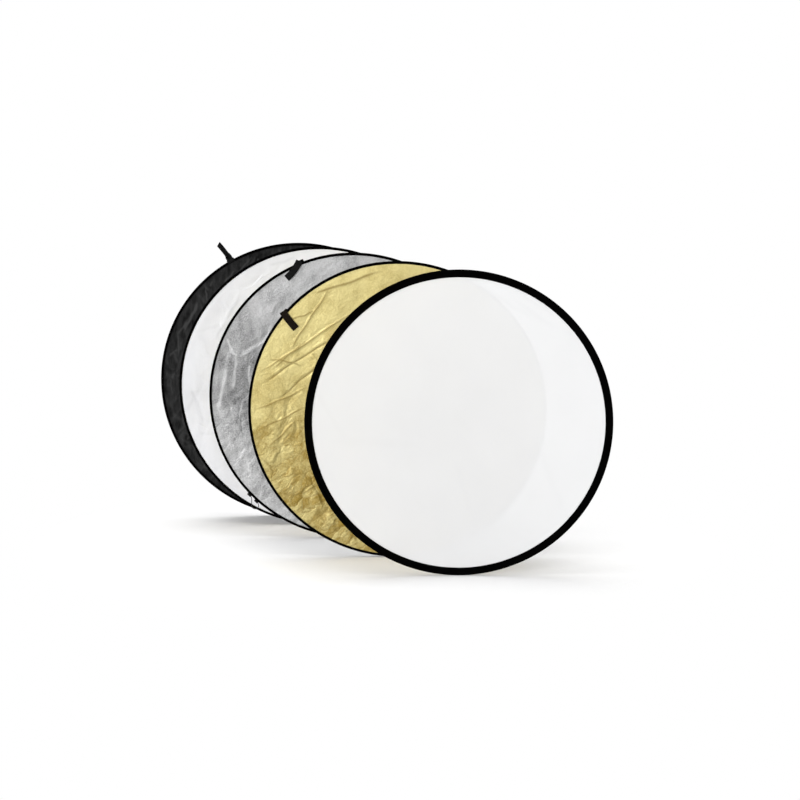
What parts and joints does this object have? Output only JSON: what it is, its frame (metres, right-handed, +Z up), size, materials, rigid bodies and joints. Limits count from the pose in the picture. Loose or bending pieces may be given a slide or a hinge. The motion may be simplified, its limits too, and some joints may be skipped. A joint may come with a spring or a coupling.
{
  "type": "collapsible reflector disc set",
  "caption": "Round fabric photo reflector discs on sprung hoops, standing staggered: a translucent diffuser in front of gold, silver, white and black zip covers with webbing tabs.",
  "frame": {"origin": "middle of the set's footprint, on the floor that every disc stands on", "axes": "+Z up; the discs stand upright and face -Y, towards the viewer; +X is to the viewer's right"},
  "size_m": [1.2465, 0.848, 0.8042],
  "materials": {
    "translucent_cloth": "smooth translucent white nylon",
    "gold_cloth": "crinkled metallic gold coated fabric",
    "silver_cloth": "crinkled metallic silver coated fabric",
    "white_cloth": "matt white nylon",
    "black_face_cloth": "matt black nylon",
    "black_cloth": "woven black binding tape",
    "webbing": "woven black webbing",
    "spring_steel": "sprung steel band",
    "crimped_brass": "crimped sleeve",
    "zip_coil": "moulded nylon coil",
    "zip_metal": "black enamelled zip hardware",
    "cord": "thin braided cord"
  },
  "bodies": {
    "diffuser": {"diffuser_panel": "translucent_cloth", "diffuser_binding": "black_cloth", "diffuser_hoop": "spring_steel", "diffuser_hoop_sleeve": "crimped_brass"},
    "gold_disc": {"gold_front_panel": "gold_cloth", "gold_back_panel": "silver_cloth", "gold_front_tape": "black_cloth", "gold_back_tape": "black_cloth", "gold_hoop": "spring_steel", "gold_hoop_sleeve": "crimped_brass", "gold_zip_chain": "zip_coil", "gold_gusset": "black_cloth", "gold_tab_base": "webbing"},
    "gold_slider": {"gold_zip_slider": "zip_metal"},
    "gold_pull": {"gold_zip_pull": "zip_metal"},
    "gold_strap": {"gold_tab": "webbing"},
    "silver_disc": {"silver_front_panel": "silver_cloth", "silver_back_panel": "gold_cloth", "silver_front_tape": "black_cloth", "silver_back_tape": "black_cloth", "silver_hoop": "spring_steel", "silver_hoop_sleeve": "crimped_brass", "silver_zip_chain": "zip_coil", "silver_gusset": "black_cloth", "silver_tab_base": "webbing", "silver_loop_tag_upper": "webbing", "silver_loop_tag_lower": "webbing", "silver_hang_loop": "cord"},
    "silver_slider": {"silver_zip_slider": "zip_metal"},
    "silver_pull": {"silver_zip_pull": "zip_metal"},
    "silver_strap": {"silver_tab": "webbing"},
    "white_disc": {"white_front_panel": "white_cloth", "white_back_panel": "black_face_cloth", "white_front_tape": "black_cloth", "white_back_tape": "black_cloth", "white_hoop": "spring_steel", "white_hoop_sleeve": "crimped_brass", "white_zip_chain": "zip_coil", "white_gusset": "black_cloth", "white_tab_base": "webbing"},
    "white_slider": {"white_zip_slider": "zip_metal"},
    "white_pull": {"white_zip_pull": "zip_metal"},
    "white_strap": {"white_tab": "webbing"},
    "black_disc": {"black_front_panel": "black_face_cloth", "black_back_panel": "white_cloth", "black_front_tape": "black_cloth", "black_back_tape": "black_cloth", "black_hoop": "spring_steel", "black_hoop_sleeve": "crimped_brass", "black_zip_chain": "zip_coil", "black_gusset": "black_cloth", "black_tab_base": "webbing"},
    "black_slider": {"black_zip_slider": "zip_metal"},
    "black_pull": {"black_zip_pull": "zip_metal"},
    "black_strap": {"black_tab": "webbing"}
  },
  "joints": [
    {"name": "gold_disc_slide", "type": "slide", "parent": "diffuser", "child": "gold_disc", "axis": [0.5754, -0.8179, 0], "range_m": [0, 0.2763]},
    {"name": "silver_disc_slide", "type": "slide", "parent": "gold_disc", "child": "silver_disc", "axis": [0.4487, -0.8937, 0], "range_m": [0, 0.2741]},
    {"name": "white_disc_slide", "type": "slide", "parent": "silver_disc", "child": "white_disc", "axis": [0.4775, -0.8786, 0], "range_m": [0, 0.2094]},
    {"name": "black_disc_slide", "type": "slide", "parent": "white_disc", "child": "black_disc", "axis": [0.4978, -0.8673, 0], "range_m": [0, 0.1286]},
    {"name": "gold_zip", "type": "hinge", "parent": "gold_disc", "child": "gold_slider", "pos_m": [0.064, -0.176, 0.4], "axis": [0, -1, 0], "range_deg": [0, 181]},
    {"name": "gold_pull_swing", "type": "hinge", "parent": "gold_slider", "child": "gold_pull", "pos_m": [0.27814, -0.176, 0.0573], "axis": [0, -1, 0], "range_deg": [-53, 117]},
    {"name": "gold_tab_fold", "type": "hinge", "parent": "gold_disc", "child": "gold_strap", "pos_m": [-0.24166, -0.1826, 0.6657], "axis": [-0.8387, 0, -0.5446], "range_deg": [0, 180]},
    {"name": "silver_zip", "type": "hinge", "parent": "silver_disc", "child": "silver_slider", "pos_m": [-0.059, 0.087, 0.4], "axis": [0, -1, 0], "range_deg": [0, 153.4]},
    {"name": "silver_pull_swing", "type": "hinge", "parent": "silver_slider", "child": "silver_pull", "pos_m": [0.15514, 0.087, 0.0573], "axis": [0, -1, 0], "range_deg": [-53, 117]},
    {"name": "silver_tab_fold", "type": "hinge", "parent": "silver_disc", "child": "silver_strap", "pos_m": [-0.20677, 0.0804, 0.77708], "axis": [-0.9135, 0, 0.4067], "range_deg": [0, 180]},
    {"name": "white_zip", "type": "hinge", "parent": "white_disc", "child": "white_slider", "pos_m": [-0.159, 0.289, 0.4], "axis": [0, -1, 0], "range_deg": [0, 104]},
    {"name": "white_pull_swing", "type": "hinge", "parent": "white_slider", "child": "white_pull", "pos_m": [0.05514, 0.289, 0.0573], "axis": [0, -1, 0], "range_deg": [-53, 117]},
    {"name": "white_tab_fold", "type": "hinge", "parent": "white_disc", "child": "white_strap", "pos_m": [0.03114, 0.2824, 0.75759], "axis": [-0.8829, 0, 0.4695], "range_deg": [0, 180]},
    {"name": "black_zip", "type": "hinge", "parent": "black_disc", "child": "black_slider", "pos_m": [-0.223, 0.4185, 0.4], "axis": [0, -1, 0], "range_deg": [0, 161.2]},
    {"name": "black_pull_swing", "type": "hinge", "parent": "black_slider", "child": "black_pull", "pos_m": [-0.00886, 0.4185, 0.0573], "axis": [0, -1, 0], "range_deg": [-53, 117]},
    {"name": "black_tab_fold", "type": "hinge", "parent": "black_disc", "child": "black_strap", "pos_m": [-0.42058, 0.4185, 0.75353], "axis": [-0.8729, 0, -0.4879], "range_deg": [-60, 100], "stiffness_Nm_per_rad": 0.01}
  ]
}
